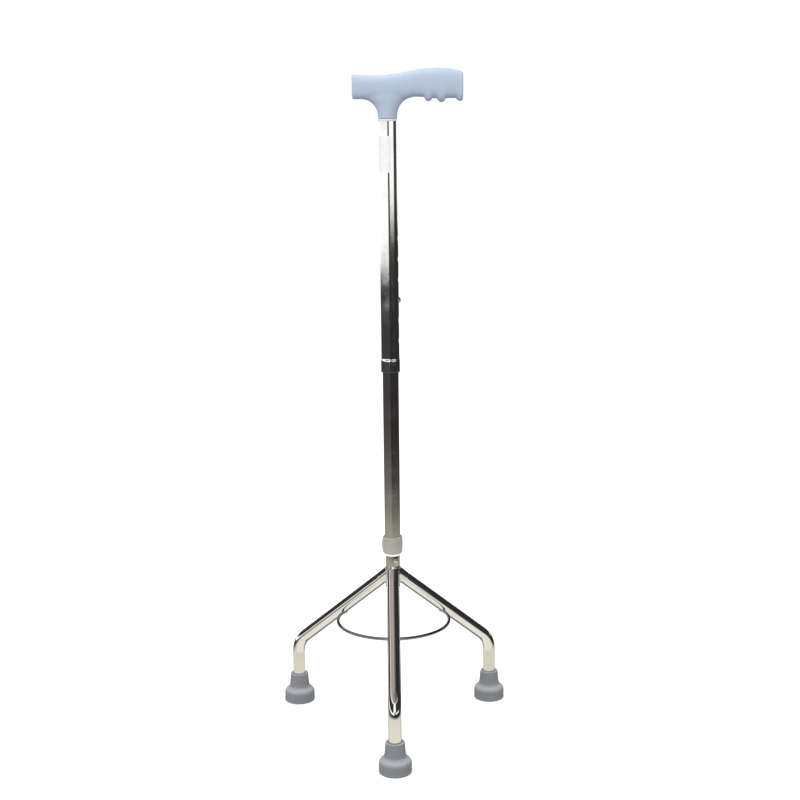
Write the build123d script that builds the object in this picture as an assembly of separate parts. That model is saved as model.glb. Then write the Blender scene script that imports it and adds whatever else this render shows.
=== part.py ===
from build123d import *
import math
import os

# Tripod walking cane, in millimetres. +Z is up, the floor is z = 0, and the front leg points along -Y.
# The origin is on the floor, in the middle of the box that the three feet stand in.

# Legs
foot_circle_radius = 147.0  # shaft axis to each foot's axis
leg_diameter = 16.0
leg_wall = 1.5
leg_slope_deg = 39.5  # below horizontal
leg_apex_height = 204.0  # where the three centrelines meet on the shaft axis
leg_bend_radius = 32.0
leg_azimuths = {"front": -90.0, "rear_right": 30.0, "rear_left": 150.0}

# Rubber feet
foot_base_diameter = 39.4
foot_rim_height = 9.5
foot_shoulder_height = 20.0
foot_sleeve_base_wall = 5.3  # rubber round the leg, at the shoulder
foot_sleeve_top_wall = 3.5
foot_height = 38.0
foot_sole = 6.0  # rubber under the steel washer
foot_edge_round = 1.5
tread_groove_depth = 1.5
tread_groove_width = 2.0
tread_groove_diameters = (15.0, 25.0)
washer_thickness = 1.5

# Brace
brace_wire_diameter = 4.0
brace_radius = 71.0
brace_setback = 4.0  # how far the arc's centre lies behind the shaft axis

# Stem of the base
stem_step = 0.8  # how far the stem stands inside the lower tube's outside
stem_wall = 2.0
stem_below_apex = 20.0  # stem's lower end, under the apex of the legs
stem_neck_length = 16.4  # bare stem above the legs
stem_spigot_clearance = 0.1  # to the lower tube's bore, on the radius
stem_spigot_length = 66.0
core_rod_top_gap = 2.0  # core rod's top, above the stem's shoulder
rivet_drop = 6.0  # rivet's axis, under the stem's shoulder
rivet_shank_diameter = 3.0
rivet_head_diameter = 5.2
rivet_head_height = 1.3
rivet_head_round = 1.17
rivet_azimuth_deg = -65.0
end_plug_flange = 2.0
end_plug_depth = 8.0

# Lower tube, its seat ring and its lock collar
lower_tube_diameter = 19.6
lower_tube_wall = 1.2
lower_tube_length = 348.6
slit_width = 1.2
slit_length = 16.0
slit_turns_deg = (45.0, 135.0)  # each slit cuts both sides
seat_ring_step = 0.1  # how far the ring stands inside the lower tube's outside
seat_ring_height = 3.0
collar_bush_wall = 1.4
collar_end_wall = 1.0  # round the bush
collar_middle_wall = 1.6
collar_height = 21.0
collar_gap = 0.4  # above the seat ring
collar_lip = 3.0
collar_edge_round = 1.2
collar_lug_radius = 7.0
collar_lug_standout = 2.2  # past the bush
collar_lug_height = 13.0
running_clearance = 0.08  # on the radius

# Snap button and its spring
button_diameter = 6.6
button_below_top = 28.0  # under the lower tube's top end
button_standout = 2.4  # past the outer tube
button_flange_rim = 1.2  # on the button's radius
button_flange_thickness = 1.0
button_hole_clearance = 0.35
spring_width = 8.0
spring_thickness = 0.7
spring_drop = 52.0
spring_bends = (2.0, 1.6, 2.0)
inside_clearance = 0.2  # of the flange's and the spring's edges to the lower tube's bore

# Top guide of the lower tube
guide_cap_height = 5.0
guide_spigot_length = 12.0
guide_bore = 10.0

# Outer tube
tube_gap = 0.3  # between the two tubes, on the radius
outer_tube_wall = 1.0
outer_tube_length = 301.4
button_above_mouth = 87.0
hole_pitch = 25.0
holes_below_button = 2
holes_above_button = 4
mouth_bell_length = 12.0
mouth_bell_taper = 4.0
mouth_bell_growth = 0.5  # on the radius
mouth_flange_height = 1.6

# Grip, insert and screws
ferrule_step = 0.5  # how far the ferrule and the grip's neck stand outside the outer tube
ferrule_height = 2.4
insert_length = 40.0  # inside the outer tube
insert_shoulder = 2.1  # width of the ledge the ferrule sits on
insert_spigot_length = 32.0
insert_counterbore_diameter = 9.0
insert_counterbore_depth = 50.0
grip_screw_diameter = 4.0
grip_screw_head_diameter = 8.0
grip_screw_head_height = 3.0
grip_screw_length = 30.0
tube_screw_drop = 20.0  # under the outer tube's top end
tube_screw_diameter = 3.2
tube_screw_head_diameter = 6.0
tube_screw_head_height = 1.4
tube_screw_length = 9.0
tube_screw_slot_width = 1.0
tube_screw_slot_length = 4.8
grip_neck_height = 23.5  # from the ferrule to the bar's underside
grip_neck_flare = 20.0
grip_neck_inset = 1.0  # how far the neck stands inside the bar, each side
grip_section_round = 0.42  # corner radius, as a share of the smaller side
grip_end_round = 4.0
# along the bar: x, top, underside (both above the ferrule) and width
grip_sections = (
    (-42.0, 52.6, 23.5, 24.0),
    (-22.0, 51.6, 23.5, 26.0),
    (-2.0, 51.2, 23.0, 27.0),
    (18.0, 54.4, 22.0, 27.6),
    (38.0, 57.6, 20.5, 28.0),
    (58.0, 59.2, 20.5, 28.0),
    (75.0, 58.0, 20.5, 27.0),
    (90.0, 54.8, 20.5, 25.0),
)
# along the bar: x, radius and depth of each finger groove
finger_grooves = ((36.0, 20.0, 3.8), (58.5, 7.5, 3.6), (76.5, 9.0, 3.4))

# How far a cutter runs past what it cuts
cut_margin = 1.0

# Sizes and places that follow from the sizes above
lower_bore = lower_tube_diameter / 2 - lower_tube_wall
stem_diameter = lower_tube_diameter - 2 * stem_step
stem_spigot_diameter = 2 * (lower_bore - stem_spigot_clearance)
seat_ring_diameter = lower_tube_diameter - 2 * seat_ring_step
collar_bush_diameter = lower_tube_diameter + 2 * collar_bush_wall
collar_end_diameter = collar_bush_diameter + 2 * collar_end_wall
collar_middle_diameter = collar_bush_diameter + 2 * collar_middle_wall
collar_lug_reach = collar_bush_diameter / 2 + collar_lug_standout
button_flange_diameter = button_diameter + 2 * button_flange_rim
outer_tube_diameter = lower_tube_diameter + 2 * (tube_gap + outer_tube_wall)
ferrule_diameter = outer_tube_diameter + 2 * ferrule_step
grip_neck_diameter = ferrule_diameter
foot_sleeve_base_diameter = leg_diameter + 2 * foot_sleeve_base_wall
foot_sleeve_top_diameter = leg_diameter + 2 * foot_sleeve_top_wall
leg_radius = leg_diameter / 2
leg_slope = math.radians(leg_slope_deg)
leg_end = foot_sole + washer_thickness
leg_corner_height = leg_apex_height - foot_circle_radius * math.tan(leg_slope)
stem_radius = stem_diameter / 2
stem_bottom = leg_apex_height - stem_below_apex
leg_top_at_stem = leg_apex_height - stem_radius * math.tan(leg_slope) + leg_radius / math.cos(leg_slope)
stem_shoulder = leg_top_at_stem + stem_neck_length
seat_ring_top = stem_shoulder + seat_ring_height
lower_top = seat_ring_top + lower_tube_length
collar_bottom = seat_ring_top + collar_gap
button_height = lower_top - button_below_top
outer_radius = outer_tube_diameter / 2
outer_bore = outer_radius - outer_tube_wall
insert_spigot_diameter = 2 * (outer_bore - insert_shoulder)
mouth_height = button_height - button_above_mouth
outer_top = mouth_height + outer_tube_length
bell_bore = outer_bore + mouth_bell_growth
grip_base = outer_top + ferrule_height
axis_y = foot_circle_radius / 4  # shaft axis, behind the middle of the feet's box


def rod(diameter, low, high):
    """A solid round bar on the shaft axis."""
    return Pos(0, 0, (low + high) / 2) * Cylinder(diameter / 2, high - low)


def ring(outer, inner, low, high):
    """A round tube on the shaft axis."""
    return rod(outer, low, high) - rod(inner, low - cut_margin, high + cut_margin)


def radial_bar(diameter, near, far, height, azimuth=0.0):
    """A round bar that points away from the shaft axis."""
    bar = Pos((near + far) / 2, 0, height) * Rot(0, 90, 0) * Cylinder(diameter / 2, far - near)
    return Rot(0, 0, azimuth) * bar


def turned(*points):
    """A solid turned about the shaft axis from an outline of (radius, height) points."""
    outline = make_face(Polyline(*points, close=True))
    return revolve(Plane.XZ * outline, Axis.Z)


# ---- Legs ----


def leg_route():
    """The centreline of a leg that points along +X."""
    return FilletPolyline(
        (0, 0, leg_apex_height),
        (foot_circle_radius, 0, leg_corner_height),
        (foot_circle_radius, 0, leg_end),
        radius=leg_bend_radius,
    )


def leg_bar(radius):
    """A solid bar along a leg's centreline."""
    route = leg_route()
    section = Plane(origin=route @ 0, z_dir=route % 0) * Circle(radius)
    return sweep(section, route)


def leg_tube():
    """A leg along +X, mitred to its third of the circle and cut to the stem."""
    reach = 2 * foot_circle_radius
    half_width = reach * math.tan(math.pi / len(leg_azimuths))
    wedge = make_face(Polyline((0, 0), (reach, half_width), (reach, -half_width), close=True))
    third = extrude(wedge, 2 * leg_apex_height)
    tube = leg_bar(leg_radius) - leg_bar(leg_radius - leg_wall)
    return (tube & third) - rod(stem_diameter, 0, 2 * leg_apex_height)


def all_leg_bars():
    """The three legs as one solid, for trimming the brace wire to them."""
    bar = leg_bar(leg_radius)
    front, right, left = [Rot(0, 0, azimuth) * bar for azimuth in leg_azimuths.values()]
    return front + right + left


# ---- Brace ----

# the wire passes just under the front leg's tube
brace_front_reach = brace_radius - brace_setback
brace_clear = leg_radius + brace_wire_diameter / 2
brace_height = (
    leg_apex_height - brace_front_reach * math.tan(leg_slope) - brace_clear / math.cos(leg_slope)
)


def brace_end_deg():
    """The angle about the arc's centre where the wire meets a rear leg's centreline."""
    azimuth = math.radians(leg_azimuths["rear_right"])
    along = brace_setback * math.sin(azimuth)
    reach = along + math.sqrt(brace_radius**2 - brace_setback**2 + along**2)
    return math.degrees(math.atan2(reach * math.sin(azimuth) - brace_setback, reach * math.cos(azimuth)))


def brace_wire():
    """A C arc of wire, open at the back, with both ends trimmed to the rear legs."""
    end = brace_end_deg()
    centre = Plane(origin=(0, brace_setback, brace_height))
    route = centre * CenterArc((0, 0), brace_radius, 180 - end, 180 + 2 * end)
    section = Plane(origin=route @ 0, z_dir=route % 0) * Circle(brace_wire_diameter / 2)
    wire = sweep(section, route) - all_leg_bars()
    return max(wire.solids(), key=lambda solid: solid.volume)


# ---- Feet ----


def foot():
    """A rubber foot on the shaft axis, with its socket for the leg."""
    rim = foot_base_diameter / 2
    body = turned(
        (0, 0),
        (rim - foot_edge_round, 0),
        (rim, foot_edge_round),
        (rim, foot_rim_height),
        (rim - foot_edge_round, foot_rim_height + foot_edge_round),
        (foot_sleeve_base_diameter / 2, foot_shoulder_height),
        (foot_sleeve_top_diameter / 2, foot_height),
        (0, foot_height),
    )
    body = body - rod(leg_diameter, foot_sole, foot_height + cut_margin)
    for diameter in tread_groove_diameters:
        outer = diameter + tread_groove_width
        inner = diameter - tread_groove_width
        body = body - ring(outer, inner, -cut_margin, tread_groove_depth)
    return body


def at_foot(shape, azimuth):
    """A shape made on the shaft axis, moved to a foot's axis."""
    turn = math.radians(azimuth)
    return Pos(foot_circle_radius * math.cos(turn), foot_circle_radius * math.sin(turn), 0) * shape


# ---- Stem ----


def rivet():
    """The domed rivet that pins the core rod in the stem."""
    height = stem_shoulder - rivet_drop
    shank = radial_bar(rivet_shank_diameter, -stem_radius + stem_wall, stem_radius, height, rivet_azimuth_deg)
    head_seat = math.sqrt(stem_radius**2 - (rivet_head_diameter / 2) ** 2)
    head_top = stem_radius + rivet_head_height
    head = radial_bar(rivet_head_diameter, head_seat, head_top, height, rivet_azimuth_deg)
    outer_edge = head.edges().filter_by(GeomType.CIRCLE).sort_by_distance((0, 0, height))[-1]
    head = fillet(outer_edge, rivet_head_round)
    stem_there = rod(stem_diameter, height - rivet_head_diameter, height + rivet_head_diameter)
    return shank + (head - stem_there)


def stem():
    """The stem with the turned-down spigot that enters the lower tube."""
    spigot_top = stem_shoulder + stem_spigot_length
    body = rod(stem_diameter, stem_bottom, stem_shoulder)
    body = body + rod(stem_spigot_diameter, stem_shoulder, spigot_top)
    bore = stem_diameter - 2 * stem_wall
    return body - rod(bore, stem_bottom - cut_margin, spigot_top + cut_margin) - rivet()


def core_rod():
    """The solid rod that stiffens the stem where the legs meet it."""
    bore = stem_diameter - 2 * stem_wall
    return rod(bore, stem_bottom + end_plug_depth, stem_shoulder + core_rod_top_gap) - rivet()


def end_plug():
    """The plastic plug that closes the stem from below."""
    flange = rod(stem_diameter, stem_bottom - end_plug_flange, stem_bottom)
    return flange + rod(stem_diameter - 2 * stem_wall, stem_bottom, stem_bottom + end_plug_depth)


# ---- Lower tube, collar and button ----


def lower_tube():
    """The lower tube, slit at its foot so that the collar can pinch it."""
    tube = ring(lower_tube_diameter, 2 * lower_bore, seat_ring_top, lower_top)
    slit = Box(2 * lower_tube_diameter, slit_width, slit_length)
    for turn in slit_turns_deg:
        tube = tube - Pos(0, 0, seat_ring_top + slit_length / 2) * Rot(0, 0, turn) * slit
    hole = radial_bar(button_diameter + 2 * running_clearance, 0, lower_tube_diameter, button_height)
    return tube - hole


def collar_bush():
    """The nylon bush between the collar and the lower tube."""
    low = collar_bottom + collar_lip
    high = collar_bottom + collar_height - collar_lip
    return ring(collar_bush_diameter, lower_tube_diameter, low, high)


def collar():
    """The lock collar: a barrel round its bush, with a lip at each end and a thumb lug."""
    top = collar_bottom + collar_height
    middle = (collar_bottom + top) / 2
    end = collar_end_diameter / 2
    bulge = ThreePointArc((end, collar_bottom), (collar_middle_diameter / 2, middle), (end, top))
    barrel = make_face(bulge + Polyline((end, top), (0, top), (0, collar_bottom), (end, collar_bottom)))
    body = revolve(Plane.XZ * barrel, Axis.Z)
    lug = Cylinder(collar_lug_radius, collar_lug_height)
    lug = Pos(collar_lug_radius - collar_lug_reach, 0, middle) * lug
    body = body + lug
    rims = body.edges().filter_by(GeomType.CIRCLE).group_by(Axis.Z)
    rims = [group.sort_by(SortBy.RADIUS)[-1] for group in (rims[0], rims[-1])]
    body = fillet(rims, collar_edge_round)
    bore = lower_tube_diameter + 2 * running_clearance
    body = body - rod(bore, collar_bottom - cut_margin, top + cut_margin)
    room = collar_bush_diameter + 2 * running_clearance
    return body - rod(room, collar_bottom + collar_lip - collar_gap / 2, top - collar_lip + collar_gap / 2)


def flat_reach(width):
    """How far from the shaft axis a flat piece of this width can lie inside the lower tube."""
    return math.sqrt((lower_bore - inside_clearance) ** 2 - (width / 2) ** 2)


def snap_button():
    """The domed button, with the flange that stops it inside the lower tube."""
    tip = outer_radius + button_standout
    seat = flat_reach(button_flange_diameter)
    post = radial_bar(button_diameter, seat, tip, button_height)
    crown = post.edges().filter_by(GeomType.CIRCLE).sort_by(Axis.X)[-1]
    post = fillet(crown, button_standout)
    return post + radial_bar(button_flange_diameter, seat - button_flange_thickness, seat, button_height)


def button_spring():
    """A V of flat strip inside the lower tube. One arm backs the button."""
    front = flat_reach(button_flange_diameter) - button_flange_thickness - spring_thickness / 2
    back = spring_thickness / 2 - flat_reach(spring_width)
    rise = button_flange_diameter / 2
    route = FilletPolyline(
        (front, 0, button_height + rise),
        (front, 0, button_height - rise),
        ((front + back) / 2, 0, button_height - spring_drop),
        (back, 0, button_height - rise),
        (back, 0, button_height + rise),
        radius=spring_bends,
    )
    start = Plane(origin=route @ 0, x_dir=(0, 1, 0), z_dir=route % 0)
    return sweep(start * Rectangle(spring_width, spring_thickness), route)


def top_guide():
    """The nylon cap in the top of the lower tube, which runs inside the outer tube."""
    cap = rod(2 * (outer_bore - running_clearance), lower_top, lower_top + guide_cap_height)
    cap = cap + rod(2 * lower_bore, lower_top - guide_spigot_length, lower_top)
    low = lower_top - guide_spigot_length - cut_margin
    return cap - rod(guide_bore, low, lower_top + guide_cap_height + cut_margin)


# ---- Outer tube ----


def outer_tube():
    """The outer tube, belled at its mouth, with its row of height holes."""
    bell_top = mouth_height + mouth_bell_length
    taper_top = bell_top + mouth_bell_taper
    grown = outer_radius + mouth_bell_growth
    body = turned(
        (bell_bore, mouth_height),
        (grown, mouth_height),
        (grown, bell_top),
        (outer_radius, taper_top),
        (outer_radius, outer_top),
        (outer_bore, outer_top),
        (outer_bore, taper_top),
        (bell_bore, bell_top),
    )
    for step in range(-holes_below_button, holes_above_button + 1):
        height = button_height + step * hole_pitch
        body = body - radial_bar(button_diameter + 2 * button_hole_clearance, 0, 2 * outer_radius, height)
    return body - tube_screw()


def mouth_bush():
    """The nylon bush in the mouth of the outer tube, which runs on the lower tube."""
    flange = rod(2 * (outer_radius + mouth_bell_growth), mouth_height - mouth_flange_height, mouth_height)
    sleeve = rod(2 * bell_bore, mouth_height, mouth_height + mouth_bell_length)
    bore = lower_tube_diameter + 2 * running_clearance
    low = mouth_height - mouth_flange_height - cut_margin
    return flange + sleeve - rod(bore, low, mouth_height + mouth_bell_length + cut_margin)


def tube_screw():
    """The screw at the back that holds the outer tube to the insert."""
    height = outer_top - tube_screw_drop
    head_seat = outer_radius - outer_tube_wall / 2
    tip = outer_radius - tube_screw_length
    head_top = head_seat + tube_screw_head_height
    shank = radial_bar(tube_screw_diameter, tip, head_seat, height, 90)
    head = radial_bar(tube_screw_head_diameter, head_seat, head_top, height, 90)
    slot = Box(tube_screw_slot_length, tube_screw_head_height, tube_screw_slot_width)
    return shank + head - Pos(0, head_top, height) * slot


# ---- Grip ----


def grip_screw():
    """The screw that pulls the grip down on its insert, with its head inside the insert."""
    seat = outer_top - insert_length + insert_counterbore_depth
    head = rod(grip_screw_head_diameter, seat - grip_screw_head_height, seat)
    return head + rod(grip_screw_diameter, seat, seat + grip_screw_length)


def insert():
    """The plug inside the outer tube that carries the grip."""
    bottom = outer_top - insert_length
    top = grip_base + insert_spigot_length
    body = rod(2 * outer_bore, bottom, outer_top) + rod(insert_spigot_diameter, outer_top, top)
    body = body - rod(insert_counterbore_diameter, bottom - cut_margin, bottom + insert_counterbore_depth)
    return body - rod(grip_screw_diameter, bottom, top + cut_margin) - tube_screw()


def ferrule():
    """The white ring between the outer tube and the grip."""
    return ring(ferrule_diameter, insert_spigot_diameter, outer_top, grip_base)


def grip_section(x, top, underside, width):
    """A rounded rectangle across the bar at x."""
    height = top - underside
    corner = grip_section_round * min(height, width)
    plane = Plane(origin=(x, 0, grip_base + (top + underside) / 2), x_dir=(0, 1, 0), z_dir=(1, 0, 0))
    return plane * RectangleRounded(width, height, corner)


def grip_neck():
    """The round neck. It flares in a quarter arc to the bar's underside and is no wider than the bar."""
    radius = grip_neck_diameter / 2
    rim = radius + grip_neck_flare
    underside = grip_base + grip_neck_height
    flare_low = underside - grip_neck_flare
    turn = grip_neck_flare * math.sqrt(0.5)
    arc = ThreePointArc((radius, flare_low), (rim - turn, flare_low + turn), (rim, underside))
    inside = underside + cut_margin
    top = Polyline((rim, underside), (rim, inside), (0, inside))
    foot_line = Polyline((0, inside), (0, grip_base), (radius, grip_base), (radius, flare_low))
    neck = revolve(Plane.XZ * make_face(arc + top + foot_line), Axis.Z)
    width = grip_sections[2][3] - 2 * grip_neck_inset
    slab = Box(2 * rim, width, 2 * grip_neck_height)
    return neck & Pos(0, 0, grip_base + grip_neck_height / 2) * slab


def grip():
    """The moulded T grip: a lofted bar with finger grooves, on a flared round neck."""
    bar = loft([grip_section(*row) for row in grip_sections])
    ends = bar.faces().sort_by(Axis.X)
    bar = fillet(ends[0].edges() + ends[-1].edges(), grip_end_round)
    for x, radius, depth in finger_grooves:
        underside = grip_base + grip_sections[-1][2]
        across = Rot(90, 0, 0) * Cylinder(radius, 4 * radius)
        bar = bar - Pos(x, 0, underside + depth - radius) * across
    body = bar + grip_neck()
    body = body - rod(insert_spigot_diameter, grip_base - cut_margin, grip_base + insert_spigot_length)
    return body - grip_screw()


# ---- Writing the parts ----


def write(name, shape):
    placed = Pos(0, axis_y, 0) * shape
    export_step(placed, f"parts/{name}.step")


def main():
    os.makedirs("parts", exist_ok=True)

    leg = leg_tube()
    tip = foot()
    washers = []
    for place, azimuth in leg_azimuths.items():
        write(f"leg_{place}", Rot(0, 0, azimuth) * leg)
        write(f"foot_{place}", at_foot(tip, azimuth))
        washers.append(at_foot(rod(leg_diameter, foot_sole, leg_end), azimuth))
    write("foot_washers", Compound(children=washers))

    write("brace_wire", brace_wire())

    write("stem", stem())
    write("stem_core_rod", core_rod())
    write("stem_end_plug", end_plug())
    write("stem_rivet", rivet())
    write("seat_ring", ring(seat_ring_diameter, stem_spigot_diameter, stem_shoulder, seat_ring_top))

    write("lower_tube", lower_tube())
    write("collar_bush", collar_bush())
    write("lock_collar", collar())
    write("lower_tube_guide", top_guide())
    write("snap_button", snap_button())
    write("button_spring", button_spring())

    write("outer_tube", outer_tube())
    write("mouth_bush", mouth_bush())
    write("tube_screw", tube_screw())
    write("ferrule", ferrule())
    write("grip_insert", insert())
    write("grip_screw", grip_screw())
    write("grip", grip())


main()
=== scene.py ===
import bmesh
import bpy
import math
import numpy as np
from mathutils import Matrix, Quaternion, Vector


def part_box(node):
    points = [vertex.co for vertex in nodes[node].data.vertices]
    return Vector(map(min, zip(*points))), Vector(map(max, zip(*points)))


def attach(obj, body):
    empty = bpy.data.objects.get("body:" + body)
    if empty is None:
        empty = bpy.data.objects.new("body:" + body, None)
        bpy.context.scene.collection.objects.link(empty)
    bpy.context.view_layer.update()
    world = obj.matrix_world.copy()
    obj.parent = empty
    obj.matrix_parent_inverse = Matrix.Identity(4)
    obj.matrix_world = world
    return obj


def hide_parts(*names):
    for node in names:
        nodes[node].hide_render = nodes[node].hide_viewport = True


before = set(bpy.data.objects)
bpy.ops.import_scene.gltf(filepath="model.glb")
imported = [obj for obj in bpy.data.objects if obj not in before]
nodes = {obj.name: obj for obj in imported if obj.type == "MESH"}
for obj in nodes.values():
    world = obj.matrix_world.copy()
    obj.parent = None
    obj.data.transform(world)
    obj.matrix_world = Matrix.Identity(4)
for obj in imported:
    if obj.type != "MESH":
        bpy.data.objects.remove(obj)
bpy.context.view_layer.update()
print("frame loaded,", len(nodes), "nodes")

pi = math.pi
mm = 0.001  # metres; shapes below are in mm until they meet a mesh


def low(node):
    return np.array(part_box(node)[0])


def high(node):
    return np.array(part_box(node)[1])


def middle(node):
    return (low(node) + high(node)) / 2


shaft = middle("seat_ring")[:2]  # the shaft's axis, seen from above
# the turn of each leg about the shaft, from +X
legTurns = {"front": -pi / 2, "rear_right": pi / 6, "rear_left": 5 * pi / 6}


def surface(name, points, capStart=False, capEnd=False):
    # points is rings x around x 3, closed around: point (i, j) joins (i + 1, j) and (i, j + 1), and a cap is
    # a fan to the ring's middle
    rings, around, _ = points.shape
    verts = points.reshape(-1, 3)
    i, j = np.meshgrid(np.arange(rings - 1), np.arange(around), indexing="ij")
    here, there = i * around, (i + 1) * around
    k = (j + 1) % around
    faces = np.stack([here + j, here + k, there + k, there + j], -1).reshape(-1, 4).tolist()
    for wanted, ring in ((capStart, 0), (capEnd, rings - 1)):
        if not wanted:
            continue
        hub = len(verts)
        verts = np.vstack([verts, points[ring].mean(0)])
        first = ring * around + np.arange(around)
        second = ring * around + (np.arange(around) + 1) % around
        if ring == 0:
            first, second = second, first
        faces += np.stack([first, second, np.full(around, hub)], -1).tolist()
    mesh = bpy.data.meshes.new(name)
    mesh.from_pydata(verts.tolist(), [], faces)
    pointOutwards(mesh)
    mesh.polygons.foreach_set("use_smooth", np.full(len(mesh.polygons), True))
    piece = bpy.data.objects.new(name, mesh)
    bpy.context.collection.objects.link(piece)
    return piece


def pointOutwards(mesh):
    # faces are flipped when the signed volume under their triangles is negative: sum of a . (b x c)
    mesh.calc_loop_triangles()
    tris = np.zeros(len(mesh.loop_triangles) * 3, np.int32)
    mesh.loop_triangles.foreach_get("vertices", tris)
    co = np.zeros(len(mesh.vertices) * 3)
    mesh.vertices.foreach_get("co", co)
    a, b, c = co.reshape(-1, 3)[tris.reshape(-1, 3)].transpose(1, 0, 2)
    if np.einsum("ij,ij->i", a, np.cross(b, c)).sum() < 0:
        mesh.flip_normals()
    mesh.update()


def turned(name, outline, centre, around=96):
    # a closed profile of (radius, height) in mm turned about an upright axis: (r cos t, r sin t, h)
    r, h = np.array(outline, float).T * mm
    t = np.linspace(0, 2 * pi, around, endpoint=False)
    pts = np.stack([
        centre[0] + r[:, None] * np.cos(t),
        centre[1] + r[:, None] * np.sin(t),
        np.broadcast_to(h[:, None], (len(r), around)),
    ], -1)
    piece = surface(name, np.concatenate([pts, pts[:1]]))
    weld(piece)
    largeFacesFirst(piece)
    return piece


def largeFacesFirst(piece):
    # shading that keeps long straight walls straight beside small rounded edges
    weighted = piece.modifiers.new("largeFacesFirst", "WEIGHTED_NORMAL")
    weighted.keep_sharp = True


def rounded(points, radius, steps=5):
    # each corner p of an outline becomes (1 - s)^2 a + 2 s (1 - s) p + s^2 b, from a before it to b past it
    mostOfSide = 0.45
    points = [np.array(p, float) for p in points]
    out = []
    for i, p in enumerate(points):
        before, after = points[i - 1], points[(i + 1) % len(points)]
        reach = min(radius, mostOfSide * np.linalg.norm(before - p), mostOfSide * np.linalg.norm(after - p))
        a = p + (before - p) / np.linalg.norm(before - p) * reach
        b = p + (after - p) / np.linalg.norm(after - p) * reach
        for s in np.linspace(0, 1, steps):
            out.append((1 - s) ** 2 * a + 2 * s * (1 - s) * p + s * s * b)
    return np.array(out)


def swept(name, path, radius, around=48):
    # a round section carried along a path: path + radius (side cos t + lift sin t), the side kept level
    path = np.asarray(path, float)
    radius = np.broadcast_to(radius, len(path))
    along = np.gradient(path, axis=0)
    along /= np.linalg.norm(along, axis=1)[:, None]
    side = np.zeros_like(along)
    side[0] = np.cross(along[0], (0.3, 0.2, 1) if abs(along[0][2]) < 0.9 else (1, 0.1, 0))
    side[0] /= np.linalg.norm(side[0])
    for n in range(1, len(path)):
        s = side[n - 1] - along[n] * (side[n - 1] @ along[n])
        side[n] = s / np.linalg.norm(s)
    lift = np.cross(along, side)
    t = np.linspace(0, 2 * pi, around, endpoint=False)
    pts = path[:, None] + radius[:, None, None] * (
        side[:, None] * np.cos(t)[None, :, None] + lift[:, None] * np.sin(t)[None, :, None]
    )
    return surface(name, pts, True, True)


def weld(piece, distance=0.00001):
    # doubles merged within a distance, in metres
    bm = bmesh.new()
    bm.from_mesh(piece.data)
    bmesh.ops.remove_doubles(bm, verts=bm.verts, dist=distance)
    bmesh.ops.dissolve_degenerate(bm, edges=bm.edges, dist=distance / 10)
    bm.to_mesh(piece.data)
    bm.free()


def applyModifiers(piece):
    bpy.context.view_layer.update()
    shape = bpy.data.meshes.new_from_object(piece.evaluated_get(bpy.context.evaluated_depsgraph_get()))
    piece.modifiers.clear()
    piece.data = shape


def joined(name, pieces):
    # several closed surfaces as one mesh
    bm = bmesh.new()
    for piece in pieces:
        bm.from_mesh(piece.data)
        bpy.data.objects.remove(piece)
    mesh = bpy.data.meshes.new(name)
    bm.to_mesh(mesh)
    bm.free()
    whole = bpy.data.objects.new(name, mesh)
    bpy.context.collection.objects.link(whole)
    return whole


def relaxed(piece, name, rounds):
    relax = piece.modifiers.new(name, "SMOOTH")
    relax.factor = 0.5
    relax.iterations = rounds
    return relax


def melted(piece, voxel, rounds):
    # closed surfaces fused on a voxel grid, then smoothed, which turns their meeting lines into fillets
    grid = piece.modifiers.new("fuse", "REMESH")
    grid.mode = "VOXEL"
    grid.voxel_size = voxel
    relaxed(piece, "relax", rounds)
    applyModifiers(piece)
    pointOutwards(piece.data)
    piece.data.polygons.foreach_set("use_smooth", np.full(len(piece.data.polygons), True))
    return piece


def smoothCopy(node, name):
    # a CAD node's own shape with its doubles merged and its curved faces shaded smooth
    mergeWithin, sharpAngle = 0.000002, 35
    piece = bpy.data.objects.new(name, nodes[node].data.copy())
    bpy.context.collection.objects.link(piece)
    weld(piece, mergeWithin)
    piece.data.materials.clear()
    piece.data.shade_smooth()
    piece.data.set_sharp_from_angle(angle=math.radians(sharpAngle))
    largeFacesFirst(piece)
    return piece


def finish(piece, material, body, slot, *replaced):
    # one material, the body that the piece rides on, a slot name that is not used, and the CAD nodes it
    # stands for
    piece.data.materials.clear()
    piece.data.materials.append(material)
    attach(piece, body)
    if replaced:
        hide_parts(*replaced)
    return piece


def newMaterial(name, colour, roughness, metallic=0.0, **sockets):
    made = bpy.data.materials.new(name)
    made.use_nodes = True
    shader = made.node_tree.nodes["Principled BSDF"]
    shader.inputs["Base Color"].default_value = (*colour, 1)
    shader.inputs["Roughness"].default_value = roughness
    shader.inputs["Metallic"].default_value = metallic
    for socket, value in sockets.items():
        shader.inputs[socket.replace("_", " ")].default_value = value
    return made, made.node_tree, shader


def add(tree, kind, **settings):
    node = tree.nodes.new(kind)
    for key, value in settings.items():
        if key in node.inputs:
            node.inputs[key].default_value = value
        else:
            setattr(node, key, value)
    return node


def place(tree, stretch=(1, 1, 1)):
    # Object coordinates, squeezed or stretched along an axis
    coords = add(tree, "ShaderNodeTexCoord")
    mapping = add(tree, "ShaderNodeMapping")
    mapping.inputs["Scale"].default_value = stretch
    tree.links.new(coords.outputs["Object"], mapping.inputs["Vector"])
    return mapping.outputs["Vector"]


def noise(tree, where, scale, detail=3.0, rough=0.55):
    made = add(tree, "ShaderNodeTexNoise", Scale=scale, Detail=detail, Roughness=rough)
    tree.links.new(where, made.inputs["Vector"])
    return made.outputs["Fac"]


def ranged(tree, value, lowIn, highIn, lowOut, highOut):
    made = add(tree, "ShaderNodeMapRange")
    for socket, number in zip(("From Min", "From Max", "To Min", "To Max"), (lowIn, highIn, lowOut, highOut)):
        made.inputs[socket].default_value = number
    tree.links.new(value, made.inputs["Value"])
    return made.outputs["Result"]


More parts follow.
